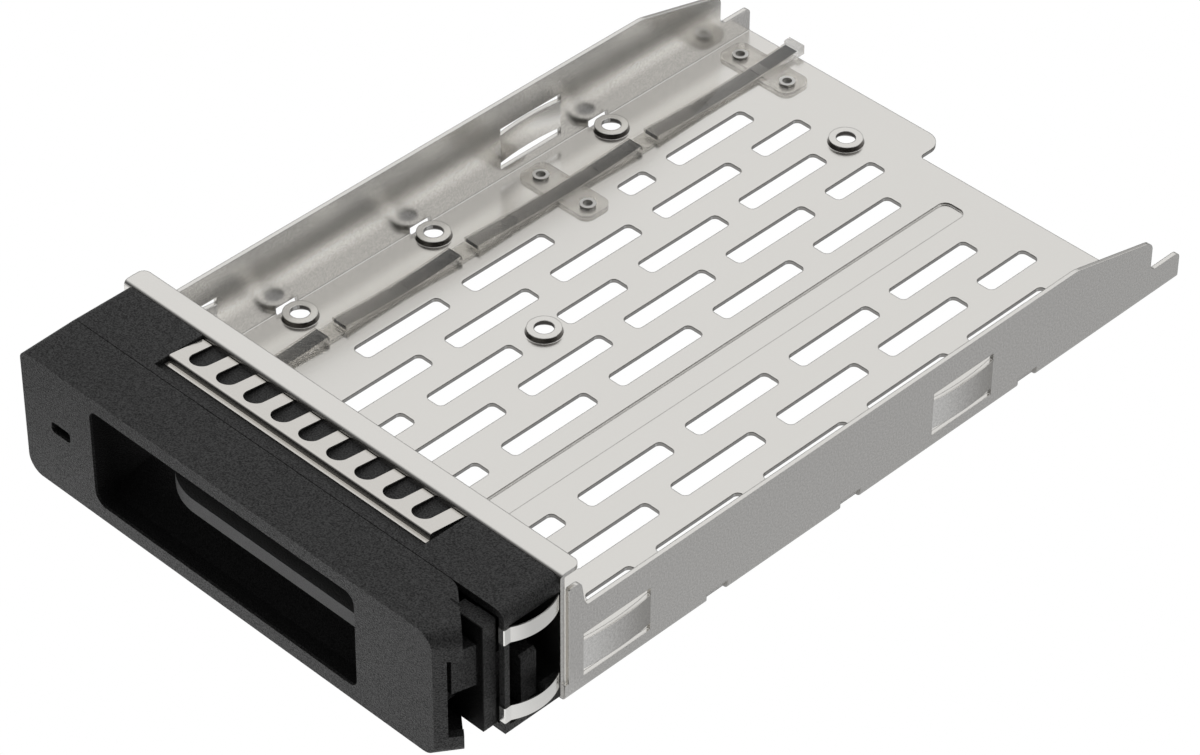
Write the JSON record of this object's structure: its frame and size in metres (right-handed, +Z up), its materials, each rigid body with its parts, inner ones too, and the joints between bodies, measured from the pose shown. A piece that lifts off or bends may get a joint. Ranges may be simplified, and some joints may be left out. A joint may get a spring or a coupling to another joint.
{
  "type": "hot swap drive caddy",
  "caption": "Drive tray of folded sheet steel with a black moulded front, swing handle, light pipe and contact springs.",
  "frame": {"origin": "centre of the large drive's four outer screw holes, on the plane of the boss tops where the drive sits", "axes": "+X to the right seen from the handle's side, +Y rearward along the tray, +Z up"},
  "size_m": [0.1048, 0.1761, 0.0269],
  "materials": {
    "plated_steel": "satin nickel plate on folded sheet",
    "clear_plastic": "clear moulded polycarbonate",
    "black_plastic": "fine spark-eroded grain",
    "dark_plastic": "plain moulded, dark grey",
    "pin_steel": "zinc plate",
    "spring_steel": "bright stainless strip"
  },
  "bodies": {
    "carrier": {"tray_pan": "plated_steel", "light_pipe": "clear_plastic", "bezel_base": "black_plastic", "hinge_pin": "pin_steel", "top_finger_gasket": "spring_steel", "side_contact_spring": "spring_steel", "light_pipe_rivet_1": "pin_steel", "light_pipe_rivet_2": "pin_steel", "light_pipe_rivet_3": "pin_steel", "light_pipe_rivet_4": "pin_steel", "bezel_screw_1": "pin_steel", "bezel_screw_2": "pin_steel", "bezel_screw_3": "pin_steel", "bezel_screw_4": "pin_steel"},
    "handle_group": {"handle": "black_plastic", "cam_arm": "dark_plastic", "lever_pin": "pin_steel", "lever_spring": "spring_steel", "cam_screw_1": "pin_steel", "cam_screw_2": "pin_steel"},
    "lever": {"release_lever": "black_plastic"}
  },
  "joints": [
    {"name": "handle_swing", "type": "hinge", "parent": "carrier", "child": "handle_group", "pos_m": [0.0391, -0.0899, 0.0117], "axis": [0, 0, 1], "range_deg": [0, 40]},
    {"name": "lever_press", "type": "hinge", "parent": "handle_group", "child": "lever", "pos_m": [0.033, -0.089, 0.0117], "axis": [0, 0, -1], "range_deg": [0, 4], "stiffness_Nm_per_rad": 0.05, "springref_deg": -5.73}
  ]
}
